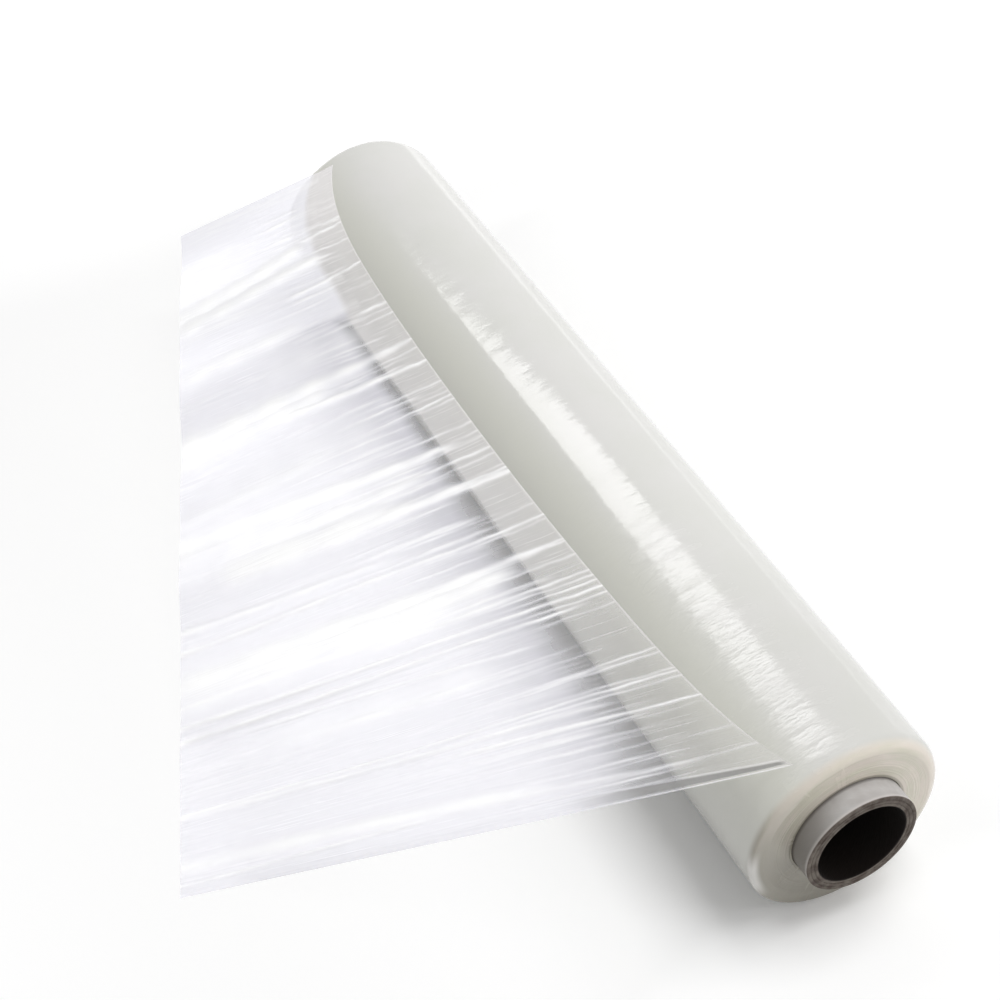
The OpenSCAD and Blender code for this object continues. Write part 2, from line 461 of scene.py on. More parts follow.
PLEAT_ROWS = (
    (0.917, 0.895, 0, 0.36, 0.0006, 0.003, 1),
    (0.926, 0.915, 0, 0.22, 0.0004, 0.001, 0.6),
    (0.915, 0.873, 0.2, 1.3, 0.002, 0.006, 0.9),
    (0.886, 0.856, 0.12, 1.3, 0.0012, 0.006, 0.95),
    (0.9, 0.88, 0.3, 1.3, 0.008, 0.012, 0.35),
    (0.845, 0.826, 0, 0.52, 0.0008, 0.0022, 1),
    (0.822, 0.812, 0, 0.16, 0.0006, 0.001, 0.45),
    (0.797, 0.78, 0.36, 1.3, 0.003, 0.006, 0.7),
    (0.77, 0.765, 0, 0.27, 0.0012, 0.0016, 0.95),
    (0.752, 0.742, 0, 0.24, 0.0006, 0.001, 0.8),
    (0.737, 0.735, 0, 0.15, 0.0005, 0.0008, 0.5),
    (0.7, 0.685, 0, 1.3, 0.001, 0.009, 1),
    (0.69, 0.66, 0.35, 1.3, 0.002, 0.008, 0.9),
    (0.66, 0.672, 0, 0.72, 0.001, 0.004, 1),
    (0.738, 0.74, 0.1, 0.7, 0.009, 0.011, 0.45),
    (0.592, 0.596, 0.2, 1, 0.012, 0.02, 0.36),
    (0.616, 0.612, 0.06, 0.45, 0.0006, 0.0016, 0.85),
    (0.6, 0.58, 0, 0.38, 0.0006, 0.0014, 0.95),
    (0.606, 0.575, 0.4, 1.3, 0.0016, 0.006, 0.45),
    (0.55, 0.552, 0, 0.12, 0.0004, 0.0008, 0.6),
    (0.53, 0.541, 0.04, 1.3, 0.0008, 0.0075, 1),
    (0.515, 0.52, 0.16, 1.3, 0.008, 0.016, 0.45),
    (0.506, 0.512, 0, 0.36, 0.001, 0.0012, 0.9),
    (0.503, 0.508, 0.16, 0.9, 0.0008, 0.008, 0.8),
    (0.482, 0.478, 0.3, 0.95, 0.003, 0.01, 1),
    (0.466, 0.482, 0, 0.95, 0.0014, 0.009, 1),
    (0.472, 0.46, 0, 0.4, 0.0006, 0.002, 0.8),
    (0.404, 0.421, 0.4, 1.3, 0.001, 0.0028, 0.9),
    (0.404, 0.4, 0.09, 0.45, 0.001, 0.002, 0.9),
    (0.393, 0.392, 0, 1.3, 0.0008, 0.0025, 0.95),
    (0.352, 0.346, 0, 1.3, 0.0006, 0.0085, 1),
    (0.338, 0.33, 0.1, 0.98, 0.0008, 0.011, 1),
    (0.324, 0.316, 0.28, 0.66, 0.006, 0.008, 1),
    (0.326, 0.324, 0.14, 1.3, 0.008, 0.015, 0.6),
    (0.315, 0.312, 0.45, 1.2, 0.001, 0.0018, 0.7),
    (0.304, 0.3, 0, 0.6, 0.0005, 0.003, 0.9),
    (0.29, 0.286, 0, 0.3, 0.0005, 0.0008, 0.9),
    (0.28, 0.283, 0, 1.3, 0.0008, 0.002, 1),
    (0.266, 0.262, 0.02, 1.3, 0.0008, 0.0022, 1),
    (0.232, 0.252, 0.16, 0.95, 0.0008, 0.0018, 0.8),
    (0.222, 0.22, 0.25, 0.95, 0.005, 0.011, 0.45),
    (0.21, 0.214, 0.3, 0.8, 0.0008, 0.004, 0.7),
    (0.196, 0.2, 0.1, 0.3, 0.0005, 0.001, 0.5),
    (0.151, 0.15, 0, 1.3, 0.0008, 0.0014, 0.9),
    (0.133, 0.146, 0.1, 1.3, 0.0008, 0.0026, 0.8),
    (0.116, 0.132, 0, 0.6, 0.0006, 0.003, 0.9),
    (0.104, 0.112, 0.2, 0.55, 0.0008, 0.002, 0.6),
    (0.046, 0.06, 0.08, 0.26, 0.0005, 0.0008, 0.8),
    (0.03, 0.072, 0.06, 0.95, 0.0008, 0.005, 0.6),
    (0.045, 0.064, 0.3, 1.3, 0.003, 0.007, 0.8),
    (0.058, 0.03, 0.5, 1.3, 0.0012, 0.002, 0.8),
)
PLEATS = tuple(Pleat(*row) for row in PLEAT_ROWS)


class TreeWriter:
    """Adds nodes to a shader or geometry tree and joins their sockets."""

    def __init__(self, tree: bpy.types.NodeTree) -> None:
        """Starts on an existing tree."""
        self.tree = tree

    def feed(self, socket: Output, value: Source) -> None:
        """Sets a socket's value, or joins it to another socket.

        Args:
            socket: The input socket.
            value: A plain value, or an output socket.
        """
        if isinstance(value, Output):
            self.tree.links.new(value, socket)
        elif hasattr(socket.default_value, "__len__") and len(socket.default_value) == 4 and len(value) == 3:
            socket.default_value = (*value, 1.0)
        else:
            socket.default_value = value

    def add(
        self,
        kind: str,
        settings: dict[str, Any] | None = None,
        numbered: dict[int, Source] | None = None,
        **inputs: Source,
    ) -> bpy.types.Node:
        """Adds a node.

        Args:
            kind: The node's type.
            settings: Its properties.
            numbered: Inputs by number, where several have the same name.
            inputs: Its inputs, as give takes them.

        Returns:
            The node.
        """
        node = self.tree.nodes.new(kind)
        for name, value in (settings or {}).items():
            setattr(node, name, value)
        for number, value in (numbered or {}).items():
            self.feed(node.inputs[number], value)
        self.give(node, **inputs)
        return node

    def give(self, node: bpy.types.Node, **inputs: Source) -> None:
        """Feeds a node's inputs by name, with spaces written as underscores."""
        for name, value in inputs.items():
            self.feed(node.inputs[name.replace("_", " ")], value)

    def math(self, operation: str, a: Source, b: Source = 0.0) -> Output:
        """Puts out the result of a Math node on a and b."""
        return self.add("ShaderNodeMath", {"operation": operation}, {0: a, 1: b}).outputs[0]

    def total(self, *values: Source) -> Output:
        """Puts out the sum of two or more values."""
        return reduce(partial(self.math, "ADD"), values)

    def product(self, *values: Source) -> Output:
        """Puts out the product of two or more values."""
        return reduce(partial(self.math, "MULTIPLY"), values)

    def mix(self, factor: Source, a: Source, b: Source) -> Output:
        """Puts out a number between a and b."""
        return self.add("ShaderNodeMix", {"data_type": "FLOAT"}, {0: factor, 2: a, 3: b}).outputs[0]

    def blend(self, factor: Source, a: Source, b: Source) -> Output:
        """Puts out a colour between a and b."""
        return self.add("ShaderNodeMix", {"data_type": "RGBA"}, {0: factor, 6: a, 7: b}).outputs[2]

    def rise(self, value: Source, low: Source, high: Source, start: float = 0.0, end: float = 1.0) -> Output:
        """Puts out a smooth step from start to end as the value goes from low to high."""
        step = {"Value": value, "From_Min": low, "From_Max": high, "To_Min": start, "To_Max": end}
        return self.add("ShaderNodeMapRange", {"interpolation_type": "SMOOTHSTEP"}, **step).outputs[0]

    def step(self, value: Source, step: Step) -> Output:
        """Puts out a step's result."""
        return self.rise(value, step.low, step.high, step.start, step.end)

    def noise(self, vector: Source, scale: Source, detail: float = 2.0, rough: float = 0.5) -> Output:
        """Puts out the value of a Noise Texture."""
        look = {"Scale": scale, "Detail": detail, "Roughness": rough}
        return self.add("ShaderNodeTexNoise", Vector=vector, **look).outputs[0]

    def split(self, vector: Source) -> tuple[Output, ...]:
        """Puts out the three parts of a vector."""
        return tuple(self.add("ShaderNodeSeparateXYZ", Vector=vector).outputs)

    def join(self, x: Source, y: Source, z: Source = 0.0) -> Output:
        """Puts out a vector made of three parts."""
        return self.add("ShaderNodeCombineXYZ", X=x, Y=y, Z=z).outputs[0]

    def place(self) -> Output:
        """Puts out the shaded point in the object's own coordinates, which are the part's frame."""
        return self.add("ShaderNodeTexCoord").outputs["Object"]

    def around_axis(self, x: Source, z: Source) -> tuple[Output, Output]:
        """Puts out the distance from the roll's axis and the angle round it."""
        squares = self.total(self.product(x, x), self.product(z, z))
        return self.math("SQRT", squares), self.math("ARCTAN2", x, z)

    def relief(self, height: Source, strength: float, distance: float) -> Output:
        """Puts out the normal of a Bump node."""
        return self.add("ShaderNodeBump", Strength=strength, Distance=distance, Height=height).outputs[0]


class Tree(Enum):
    """Kinds of node group."""

    SHADER = "ShaderNodeTree"
    GEOMETRY = "GeometryNodeTree"


class Socket(Enum):
    """Kinds of socket that a node group has."""

    FLOAT = "NodeSocketFloat"
    INT = "NodeSocketInt"
    VECTOR = "NodeSocketVector"
    COLOUR = "NodeSocketColor"
    MATERIAL = "NodeSocketMaterial"
    GEOMETRY = "NodeSocketGeometry"


def new_group(
    name: str,
    kind: Tree,
    inputs: dict[str, tuple[Socket, Any]],
    outputs: dict[str, Socket],
) -> tuple[TreeWriter, Any]:
    """Makes a node group with its sockets and its input node.

    Args:
        name: The group's name.
        kind: The kind of group.
        inputs: Input names, each with its kind of socket and its default value, if it needs one.
        outputs: Output names, each with its kind of socket.

    Returns:
        The group's writer, whose tree is the group, and its inputs as sockets to take from.
    """
    group = bpy.data.node_groups.new(name, kind.value)
    for title, (socket, default) in inputs.items():
        item = group.interface.new_socket(name=title, in_out="INPUT", socket_type=socket.value)
        if default is not None:
            item.default_value = default
    for title, socket in outputs.items():
        group.interface.new_socket(name=title, in_out="OUTPUT", socket_type=socket.value)
    w = TreeWriter(group)
    return w, w.add("NodeGroupInput").outputs


@dataclass(frozen=True)
class Streaks:
    """Settings of the streaks: how many to a unit, how long, and the noise values between which they rise."""

    fineness: float
    length: float
    low: float
    high: float


class Effects:
    """The effects that several finishes share, each built once as a node group."""

    streak_detail, streak_roughness = 3.0, 0.6
    mottle_detail, mottle_roughness = 3.0, 0.55
    mottle_edge = Step(0.35, 0.68)

    def __init__(self) -> None:
        """Builds the groups."""
        self.streaks = self._build_streaks()
        self.mottle = self._build_mottle()

    def _build_streaks(self) -> bpy.types.NodeTree:
        """Builds fine drawn lines: noise squeezed along one direction and cut to its crests.

        Returns:
            The group.
        """
        names = ("Across", "Along", "Fineness", "Length", "Low", "High")
        put = {"Mask": Socket.FLOAT, "Height": Socket.FLOAT}
        w, got = new_group("drawn_streaks", Tree.SHADER, dict.fromkeys(names, (Socket.FLOAT, None)), put)
        across = w.product(got["Across"], got["Fineness"])
        along = w.math("DIVIDE", got["Along"], got["Length"])
        value = w.noise(w.join(across, along), 1.0, self.streak_detail, self.streak_roughness)
        mask = w.rise(value, got["Low"], got["High"])
        w.add("NodeGroupOutput", Mask=mask, Height=value)
        return w.tree

    def _build_mottle(self) -> bpy.types.NodeTree:
        """Builds slow uneven colour, as milky plastic and grey paper have.

        Returns:
            The group.
        """
        given = {
            "Vector": (Socket.VECTOR, None),
            "Size": (Socket.FLOAT, None),
            "Plain": (Socket.COLOUR, None),
            "Patch": (Socket.COLOUR, None),
        }
        w, got = new_group("slow_mottle", Tree.SHADER, given, {"Color": Socket.COLOUR})
        scale = w.math("DIVIDE", 1.0, got["Size"])
        value = w.noise(got["Vector"], scale, self.mottle_detail, self.mottle_roughness)
        colour = w.blend(w.step(value, self.mottle_edge), got["Plain"], got["Patch"])
        w.add("NodeGroupOutput", Color=colour)
        return w.tree

    def streaky(self, w: TreeWriter, across: Source, along: Source, look: Streaks) -> tuple[Source, Source]:
        """Places the streaks in a material.

        Args:
            w: The material's writer.
            across: The value across the lines.
            along: The value along them.
            look: Their settings.

        Returns:
            Their mask and their height.
        """
        given = {"Fineness": look.fineness, "Length": look.length, "Low": look.low, "High": look.high}
        node = w.add("ShaderNodeGroup", {"node_tree": self.streaks}, Across=across, Along=along, **given)
        return node.outputs["Mask"], node.outputs["Height"]

    def patchy(self, w: TreeWriter, place: Source, size: float, plain: Colour, patch: Colour) -> Source:
        """Places the mottle in a material, and puts out its colour."""
        given = {"Size": size, "Plain": plain, "Patch": patch}
        return w.add("ShaderNodeGroup", {"node_tree": self.mottle}, Vector=place, **given).outputs["Color"]


def start_material(name: str) -> tuple[bpy.types.Material, TreeWriter, bpy.types.Node]:
    """Makes a material with only a Principled shader and its output.

    Args:
        name: The material's name.

    Returns:
        The material, its writer and the shader.
    """
    material = bpy.data.materials.new(name)
    material.use_nodes = True
    w = TreeWriter(material.node_tree)
    shader = next(n for n in material.node_tree.nodes if n.type == "BSDF_PRINCIPLED")
    return material, w, shader


@dataclass(frozen=True)
class CorePaper:
    """Grey-brown wound paper: pale outside, darker on its cut rims, near-black down the bore, with painted
    shade low on one side, where the film starts and down the bore.

    The roughness follows the fibres. The other steps are places in metres: the distance from the
    axis for inside, x + z for painted_shade_tilt, and the distance from the tube's middle for the rest.
    """

    name: str = "core_paper"
    outside: Colour = (0.575, 0.563, 0.556)
    patch: Colour = (0.46, 0.44, 0.43)
    shade: Colour = (0.26, 0.245, 0.225)
    edge: Colour = (0.70, 0.66, 0.64)
    rim: Colour = (0.185, 0.160, 0.138)
    rim_dark_and_shade: Colour = (0.085, 0.066, 0.055)
    bore: Colour = (0.005, 0.003, 0.002)
    patch_size: float = 0.012
    rim_patch_size: float = 0.005
    gloss: float = 0.25
    roughness: Step = Step(0.3, 0.7, 0.68, 0.88)
    fibres: Streaks = Streaks(2600.0, 0.3, 0.35, 0.75)
    fibre_slant: float = 0.014
    fibre_strength: float = 0.35
    fibre_bump: float = 0.35
    fibre_depth: float = 0.0002
    painted_shade_tilt: Step = Step(0.028, -0.026)
    worn: Step = Step(SIZES.core_half - 0.0022, SIZES.core_half - 0.0006, 0.0, 0.6)
    by_film: Step = Step(SIZES.web_half + 0.0014, SIZES.web_half, 0.0, 0.6)
    on_rim: Step = Step(SIZES.core_half - 0.0009, SIZES.core_half - 0.0003)
    inside: Step = Step(SIZES.bore_r + 0.0006, SIZES.bore_r + 0.0001)

    def build(self, effects: Effects) -> bpy.types.Material:
        """Builds the material.

        Args:
            effects: The shared effects.

        Returns:
            The material.
        """
        material, w, shader = start_material(self.name)
        place = w.place()
        x, y, z = w.split(place)
        radius, turn = w.around_axis(x, z)
        along = w.math("ABSOLUTE", y)
        # Fibres run round the tube, along the winding
        across = w.total(y, w.product(turn, self.fibre_slant))
        fibres, height = effects.streaky(w, across, turn, self.fibres)
        outside = effects.patchy(w, place, self.patch_size, self.outside, self.patch)
        outside = w.blend(w.product(fibres, self.fibre_strength), outside, self.patch)
        # Painted shade: the tube is darker in colour on its lower, left side
        outside = w.blend(w.step(w.total(x, z), self.painted_shade_tilt), outside, self.shade)
        # The cut edge of the outer ply is worn pale, and a band of painted shade darkens the tube where the
        # film starts
        outside = w.blend(w.step(along, self.worn), outside, self.edge)
        outside = w.blend(w.step(along, self.by_film), outside, self.rim_dark_and_shade)
        rim = effects.patchy(w, place, self.rim_patch_size, self.rim, self.rim_dark_and_shade)
        colour = w.blend(w.step(along, self.on_rim), outside, rim)
        # The bore is near-black: dark paper, and painted shade for the dark down the tube
        colour = w.blend(w.step(radius, self.inside), colour, self.bore)
        normal = w.relief(height, self.fibre_bump, self.fibre_depth)
        rough = w.step(height, self.roughness)
        w.give(shader, Base_Color=colour, Roughness=rough, Normal=normal, Specular_IOR_Level=self.gloss)
        return material


@dataclass(frozen=True)
class WoundFilmFinish:
    """Many clear turns on each other: milky and glossy, warmer on the end faces.

    The steps are places in metres. Their names say what is measured: r is the distance from the
    axis, end the distance from the roll's middle, tilt is x + z, and x, y and z are the frame's.
    """

    name: str = "stretch_film_wound"
    plain: Colour = (0.788, 0.780, 0.757)
    patch: Colour = (0.765, 0.764, 0.728)
    painted_olive_shade: Colour = (0.773, 0.773, 0.702)
    shade: Colour = (0.600, 0.598, 0.560)
    end_tint: Colour = (0.870, 0.795, 0.700)
    end_olive: Colour = (0.760, 0.740, 0.600)
    end_shade: Colour = (0.355, 0.335, 0.285)
    painted_gap_shade: Colour = (0.26, 0.24, 0.18)
    painted_gleam: Colour = (0.95, 0.94, 0.92)
    patch_size: float = 0.035
    roughness: float = 0.075
    dulled: float = 0.31
    least_dull: float = 0.32
    arcs: Streaks = Streaks(190.0, 0.9, 0.4, 0.64)
    arc_strength: float = 0.75
    lines: Streaks = Streaks(210.0, 0.4, 0.45, 0.62)
    line_bump: float = 0.45
    line_depth: float = 0.0012
    painted_olive_tilt: Step = Step(0.0, 0.035)
    shade_tilt: Step = Step(-0.058, 0.0)
    near_shade_y: Step = Step(-0.08, -0.2, 0.0, 0.4)
    near_shade_tilt: Step = Step(0.02, 0.055)
    face_end: Step = Step(SIZES.web_half - 0.004, SIZES.web_half - 0.0005)
    face_r: Step = Step(SIZES.roll_r - 0.0012, SIZES.roll_r - 0.006)
    face_tilt: Step = Step(-0.05, 0.03)
    painted_gap_r: Step = Step(SIZES.hole_r + 0.0016, SIZES.hole_r + 0.0002, 0.0, 0.8)
    gleam_r: Step = Step(0.0375, 0.0405)
    gleam_end: Step = Step(0.2215, 0.2238)
    gleam_x: Step = Step(-0.028, -0.036)
    gleam_z: tuple[Step, Step] = (Step(0.008, -0.004), Step(-0.026, -0.013, 0.0, 0.6))
    lines_y: Step = Step(-0.02, -0.15, 0.2, 1.0)
    lines_x: tuple[Step, Step] = (Step(0.014, 0.0), Step(-0.036, -0.02, 0.25, 1.0))

    def build(self, effects: Effects) -> bpy.types.Material:
        """Builds the material.

        Args:
            effects: The shared effects.

        Returns:
            The material.
        """
        material, w, shader = start_material(self.name)
        place = w.place()
        x, y, z = w.split(place)
        radius, turn = w.around_axis(x, z)
        end, tilt = w.math("ABSOLUTE", y), w.total(x, z)
        side = effects.patchy(w, place, self.patch_size, self.plain, self.patch)
        # Painted shade: the turns go olive and darker toward their lower, left side, and darker on their
        # right side near the near end
        side = w.blend(w.step(tilt, self.painted_olive_tilt), self.painted_olive_shade, side)
        side = w.blend(w.step(tilt, self.shade_tilt), self.shade, side)
        near_shade = w.product(w.step(y, self.near_shade_y), w.step(tilt, self.near_shade_tilt))
        side = w.blend(near_shade, side, self.shade)
        # The ends of the turns show their full width of film, so they look warmer
        arcs, _ = effects.streaky(w, radius, turn, self.arcs)
        face = w.blend(w.product(arcs, self.arc_strength), self.end_tint, self.end_olive)
        # Painted shade: the end faces darken toward their lower left
        face = w.blend(w.step(tilt, self.face_tilt), self.end_shade, face)
        # Painted shade in the gap round the hole, where the turns meet the tube
        face = w.blend(w.step(radius, self.painted_gap_r), face, self.painted_gap_shade)
        on_face = w.math("MAXIMUM", w.step(end, self.face_end), w.step(radius, self.face_r))
        colour = w.blend(on_face, side, face)
        # A painted highlight: the outermost turn is painted pale low on the end's rounding, where it catches
        # the light
        painted_gleam = w.product(w.step(radius, self.gleam_r), w.step(end, self.gleam_end), w.step(x, self.gleam_x))
        painted_gleam = w.product(painted_gleam, *(w.step(z, step) for step in self.gleam_z))
        colour = w.blend(painted_gleam, colour, self.painted_gleam)
        # Tight stretch lines run round the roll, and they are strongest near the near end
        lines, height = effects.streaky(w, y, turn, self.lines)
        shown = w.product(w.step(y, self.lines_y), *(w.step(x, step) for step in self.lines_x))
        dull = w.product(w.total(lines, self.least_dull), shown)
        normal = w.relief(w.product(height, shown), self.line_bump, self.line_depth)
        w.give(shader, Base_Color=colour, Roughness=w.mix(dull, self.roughness, self.dulled), Normal=normal)
        return material


@dataclass(frozen=True)
class DrawnFilmFinish:
    """One layer of clear film: see-through, with white pleats, partly painted glints, painted sheen bands, a
    hem wedge of painted shade and a faint lilac haze.

    The steps named across are shares of the film's width.
    """

    name: str = "stretch_film_drawn"
    haze: Colour = (0.745, 0.735, 0.835)
    near_haze: Colour = (0.69, 0.68, 0.78)
    far_haze: Colour = (0.84, 0.835, 0.90)
    close: Colour = (0.83, 0.80, 0.825)
    white: Colour = (0.91, 0.91, 0.91)
    painted_fold_shade: Colour = (0.09, 0.088, 0.085)
    clear: float = 0.05
    milky: float = 0.80
    pleated: float = 0.94
    hemmed: float = 0.7
    shading: float = 0.05
    roughness: float = 0.3
    gloss: float = 0.9
    fine: Streaks = Streaks(420.0, 0.22, 0.52, 0.76)
    painted_sheen_bands: Streaks = Streaks(48.0, 0.6, 0.45, 0.75)
    fine_strength: float = 0.32
    band_strength: float = 0.45
    kept_in_hem: float = 0.15
    bump: float = 0.2
    depth: float = 0.0005
    resting_across: Step = Step(0.1, 0.48, 0.133, 0.38)
    far_resting_across: Step = Step(0.82, 0.97, 0.0, 0.2)
    near_across: Step = Step(0.4, 0.05)
    far_out: Step = Step(0.62, 1.0)

    def build(self, effects: Effects) -> bpy.types.Material:
        """Builds the material.

        Args:
            effects: The shared effects.

        Returns:
            The material.
        """
        material, w, shader = start_material(self.name)
        u, s, _ = w.split(w.add("ShaderNodeUVMap", {"uv_map": "film_uv"}).outputs[0])
        pleat, hem, over, out = (
            w.add("ShaderNodeAttribute", {"attribute_name": name}).outputs["Fac"]
            for name in ("pleat", "hem", "over", "out")
        )
        fine, fine_height = effects.streaky(w, u, s, self.fine)
        # The broad bands are a painted reflection: soft white sheen of the lamp in the film's slow waves
        painted_sheen_bands, band_height = effects.streaky(w, u, s, self.painted_sheen_bands)
        fine = w.product(fine, self.fine_strength)
        painted_sheen_bands = w.product(painted_sheen_bands, w.math("MINIMUM", out, self.band_strength))
        # Pleats, threads and bands whiten the film: partly gathered film, partly painted glints and
        # reflection
        mask = w.math("MAXIMUM", w.math("MAXIMUM", fine, painted_sheen_bands), pleat)
        mask = w.product(mask, w.mix(hem, 1.0, self.kept_in_hem))
        # The film is clear where it is stretched between the roll and the table, and milky elsewhere
        resting = w.total(w.step(u, self.resting_across), w.step(u, self.far_resting_across))
        haze = w.mix(over, w.mix(out, self.clear, self.milky), resting)
        alpha = w.mix(mask, w.mix(hem, haze, self.hemmed), self.pleated)
        drawn = w.blend(w.step(u, self.near_across), self.haze, self.near_haze)
        drawn = w.blend(w.step(out, self.far_out), drawn, self.far_haze)
        # The hem's wedge is painted dark: painted shade inside the fold and in the gap beneath it
        plain = w.blend(hem, w.blend(over, drawn, self.close), self.painted_fold_shade)
        w.give(shader, Base_Color=w.blend(mask, plain, self.white), Roughness=self.roughness)
        # Light goes on through the film to the table, so the film's own shadow is faint
        path = w.add("ShaderNodeLightPath").outputs
        lit_through = w.math("MAXIMUM", path["Is Shadow Ray"], path["Is Diffuse Ray"])
        alpha = w.product(alpha, w.mix(lit_through, 1.0, self.shading))
        normal = w.relief(w.total(fine_height, band_height), self.bump, self.depth)
        w.give(shader, Alpha=alpha, Normal=normal, Specular_IOR_Level=self.gloss)
        return material


def put_mesh(name: str, points: np.ndarray, faces: list[tuple[int, ...]]) -> Thing:
    """Makes an object from points and faces, at the origin.

    Args:
        name: The object's name.
        points: Its points, in metres.
        faces: Its faces as tuples of point numbers.

    Returns:
        The object.
    """
    mesh = bpy.data.meshes.new(name)
    mesh.from_pydata([tuple(p) for p in points], [], faces)
    mesh.validate()
    for polygon in mesh.polygons:
        polygon.use_smooth = True
    thing = bpy.data.objects.new(name, mesh)
    bpy.context.scene.collection.objects.link(thing)
    return thing


def settle_nodes(thing: Thing) -> None:
    """Turns a piece with a Geometry Nodes modifier into a plain mesh, and removes the modifier.

    Args:
        thing: The piece.
    """
    bpy.context.view_layer.update()
    dg = bpy.context.evaluated_depsgraph_get()
    mesh = bpy.data.meshes.new_from_object(thing.evaluated_get(dg))
    thing.modifiers.clear()
    thing.data = mesh
    mesh.name = thing.name


def add_nodes(thing: Thing, group: bpy.types.NodeTree, values: dict[str, Any]) -> None:
    """Adds a Geometry Nodes modifier and sets its inputs.

    Args:
        thing: The object.
        group: The tree.
        values: The tree's inputs by name.
    """
    modifier = thing.modifiers.new(group.name, "NODES")
    modifier.node_group = group
    sockets = {i.name: i.identifier for i in group.interface.items_tree if i.in_out == "INPUT"}
    for name, value in values.items():
        modifier[sockets[name]] = value


class TurnedBody:
    """The rule for a turned piece: a closed outline taken round the roll's axis."""

    tight_side = -125.0
    tight_round = Step(-0.1, 0.6)
    outer_face = Step(SIZES.roll_r - 0.004, SIZES.roll_r)
    waves_round, waves_along = 1.6, 60.0
    weld = 0.000002
    vectors = {"data_type": "FLOAT_VECTOR"}

    def __init__(self) -> None:
        """Builds the Geometry Nodes tree."""
        given = {
            "Geometry": (Socket.GEOMETRY, None),
            "Sides": (Socket.INT, None),
            "Table Height": (Socket.FLOAT, -1.0),
            "Unevenness": (Socket.FLOAT, 0.0),
            "Tightness": (Socket.FLOAT, 0.0),
            "Seed": (Socket.FLOAT, 0.0),
            "Finish": (Socket.MATERIAL, None),
        }
        w, got = new_group("turned_body", Tree.GEOMETRY, given, {"Geometry": Socket.GEOMETRY})
        self.group = w.tree
        count = w.add("GeometryNodeAttributeDomainSize", Geometry=got["Geometry"]).outputs["Point Count"]
        columns = w.total(got["Sides"], 1.0)
        body = w.add("GeometryNodeMeshGrid", Vertices_X=columns, Vertices_Y=count).outputs[0]
        index = w.add("GeometryNodeInputIndex").outputs[0]
        column = w.math("FLOOR", w.math("DIVIDE", w.total(index, 0.5), count))
        row = w.math("SUBTRACT", index, w.product(column, count))
        place = w.add("GeometryNodeInputPosition").outputs[0]
        tight = w.add("GeometryNodeInputNamedAttribute", self.vectors, Name="tight").outputs[0]
        soft_r, soft_y = self._sample_row(w, got["Geometry"], row, place)
        tight_r, tight_y = self._sample_row(w, got["Geometry"], row, tight)
        turn = w.product(w.math("DIVIDE", column, got["Sides"]), math.tau)
        # The rounding of the ends is tighter on one side, where the turns were pressed square
        side = w.math("COSINE", w.math("SUBTRACT", turn, w.math("RADIANS", self.tight_side)))
        share = w.product(w.step(side, self.tight_round), got["Tightness"])
        radius, along = w.mix(share, soft_r, tight_r), w.mix(share, soft_y, tight_y)
        sine, cosine = w.math("SINE", turn), w.math("COSINE", turn)
        full = w.total(radius, self._unevenness(w, got, radius, along, sine, cosine))
        height = w.math("MAXIMUM", w.product(full, cosine), got["Table Height"])
        steps = {
            "GeometryNodeSetPosition": {"Position": w.join(w.product(full, sine), along, height)},
            "GeometryNodeMergeByDistance": {"Distance": self.weld},
            "GeometryNodeSetShadeSmooth": {},
            "GeometryNodeRealizeInstances": {},
            "GeometryNodeSetMaterial": {"Material": got["Finish"]},
        }
        for kind, inputs in steps.items():
            body = w.add(kind, Geometry=body, **inputs).outputs[0]
        w.add("NodeGroupOutput", Geometry=body)

    def _unevenness(
        self, w: TreeWriter, got: Any, radius: Source, along: Source, sine: Source, cosine: Source
    ) -> Output:
        """Slow unevenness that runs round the body, on its outer face only.

        Args:
            w: The tree's writer.
            got: The tree's inputs.
            radius: Distance from the axis.
            along: Place along it.
            sine: Sine of the angle round it.
            cosine: Its cosine.

        Returns:
            What it adds to the radius.
        """
        swept = w.join(
            w.product(sine, self.waves_round),
            w.product(along, self.waves_along),
            w.product(cosine, self.waves_round),
        )
        shifted = w.add("ShaderNodeVectorMath", {"operation": "ADD"})
        w.feed(shifted.inputs[0], swept)
        w.feed(shifted.inputs[1], w.join(got["Seed"], got["Seed"]))
        waves = w.math("SUBTRACT", w.noise(shifted.outputs[0], 1.0), 0.5)
        return w.product(waves, got["Unevenness"], w.step(radius, self.outer_face))

    def _sample_row(self, w: TreeWriter, geometry: Source, row: Source, value: Source) -> tuple[Output, ...]:
        """Puts out the radius and the place along the axis that a vector of the outline's row holds."""
        sample = w.add("GeometryNodeSampleIndex", self.vectors, Geometry=geometry, Index=row, Value=value)
        return w.split(sample.outputs[0])[:2]

    def turn(
        self, name: str, outline: np.ndarray, tight: np.ndarray, values: dict[str, Any]
    ) -> Thing:
        """Turns an outline into a body.

        Args:
            name: The piece's name.
            outline: Rows of radius and place along the axis, closed by repeating the first.
            tight: The same rows for the side where the ends are pressed square.
            values: The tree's other inputs.

        Returns:
            The piece, as a plain mesh.
        """
        flat = np.zeros(len(outline))
        thing = put_mesh(name, np.column_stack([outline, flat]), [])
        attribute = thing.data.attributes.new("tight", "FLOAT_VECTOR", "POINT")
        attribute.data.foreach_set("vector", np.column_stack([tight, flat]).ravel().astype(np.float32))
        add_nodes(thing, self.group, values)
        settle_nodes(thing)
        return thing


def closed(end: Rows, half: float, middle: Rows) -> np.ndarray:
    """Closes a body's outline, as distance from the axis and place along it.

    Args:
        end: Outline of each end, as distance from the axis and depth below the end.
        half: Half the body's length.
        middle: Rows between the near end and the far one.

    Returns:
        All rows, with the first repeated at the end.
    """
    near = [(r, depth - half) for r, depth in end]
    far = [(r, half - depth) for r, depth in reversed(end)]
    return np.array(near + middle + far + near[:1])


